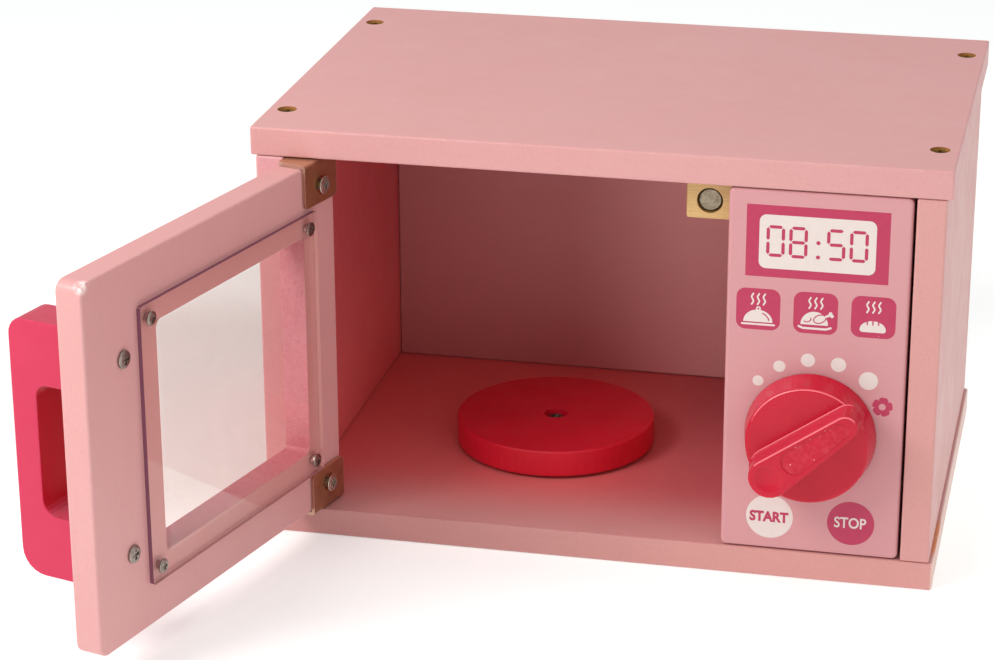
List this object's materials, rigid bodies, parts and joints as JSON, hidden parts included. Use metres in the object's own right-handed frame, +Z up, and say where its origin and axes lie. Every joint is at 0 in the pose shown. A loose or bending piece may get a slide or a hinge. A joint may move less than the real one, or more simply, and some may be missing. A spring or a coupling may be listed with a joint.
{
  "type": "toy microwave",
  "caption": "Wooden pretend-play microwave oven with a hinged door with a clear pane and a handle, a turntable, a turning knob, a control panel and a magnetic catch.",
  "frame": {"origin": "centre of the cabinet's bottom face", "axes": "+Z up, -Y towards the front, +X to the right seen from the front"},
  "size_m": [0.3471, 0.3565, 0.183],
  "materials": {
    "pink_paint": "satin dusty pink paint on wooden board",
    "rose_paint": "satin deep rose paint on wood",
    "bare_wood": "bare sanded wood",
    "clear_acrylic": "clear, polished",
    "rose_plastic": "glossy, slightly translucent moulding",
    "steel": "zinc-plated",
    "brassed_steel": "yellow-plated",
    "bronzed_steel": "shiny copper-brown plating",
    "magnet": "dull grey"
  },
  "bodies": {
    "cabinet": {"top_board": "pink_paint", "bottom_board": "pink_paint", "side_panel_left": "pink_paint", "side_panel_right": "pink_paint", "back_panel": "pink_paint", "divider_panel": "pink_paint", "control_panel": "pink_paint", "catch_block": "bare_wood", "catch_magnet": "magnet", "turntable_screw": "steel", "turntable_washer": "steel", "top_screw_left_front": "brassed_steel", "top_screw_left_rear": "brassed_steel", "top_screw_right_front": "brassed_steel", "top_screw_right_rear": "brassed_steel", "bottom_screw_left_front": "brassed_steel", "bottom_screw_left_rear": "brassed_steel", "bottom_screw_right_front": "brassed_steel", "bottom_screw_right_rear": "brassed_steel"},
    "door": {"door_frame": "pink_paint", "window_pane": "clear_acrylic", "door_handle": "rose_paint", "door_strike": "steel", "hinge_bracket_top": "bronzed_steel", "hinge_bracket_bottom": "bronzed_steel", "bracket_screw_top": "steel", "bracket_screw_bottom": "steel", "hinge_pin_top": "steel", "hinge_pin_bottom": "steel", "handle_screw_top": "steel", "handle_screw_bottom": "steel", "pane_screw_top_hinge_side": "steel", "pane_screw_top_free_side": "steel", "pane_screw_bottom_hinge_side": "steel", "pane_screw_bottom_free_side": "steel"},
    "turntable": {"turntable": "rose_paint"},
    "knob": {"knob": "rose_plastic", "knob_screw": "steel", "knob_washer": "steel"}
  },
  "joints": [
    {"name": "door_hinge", "type": "hinge", "parent": "cabinet", "child": "door", "pos_m": [-0.1202, -0.09, 0.0915], "axis": [0, 0, 1], "range_deg": [-1, 105.2]},
    {"name": "turntable_spin", "type": "hinge", "parent": "cabinet", "child": "turntable", "pos_m": [-0.0345, -0.004, 0.0136], "axis": [0, 0, 1], "continuous": true},
    {"name": "knob_turn", "type": "hinge", "parent": "cabinet", "child": "knob", "pos_m": [0.0917, -0.0987, 0.0656], "axis": [0, -1, 0], "continuous": true}
  ]
}
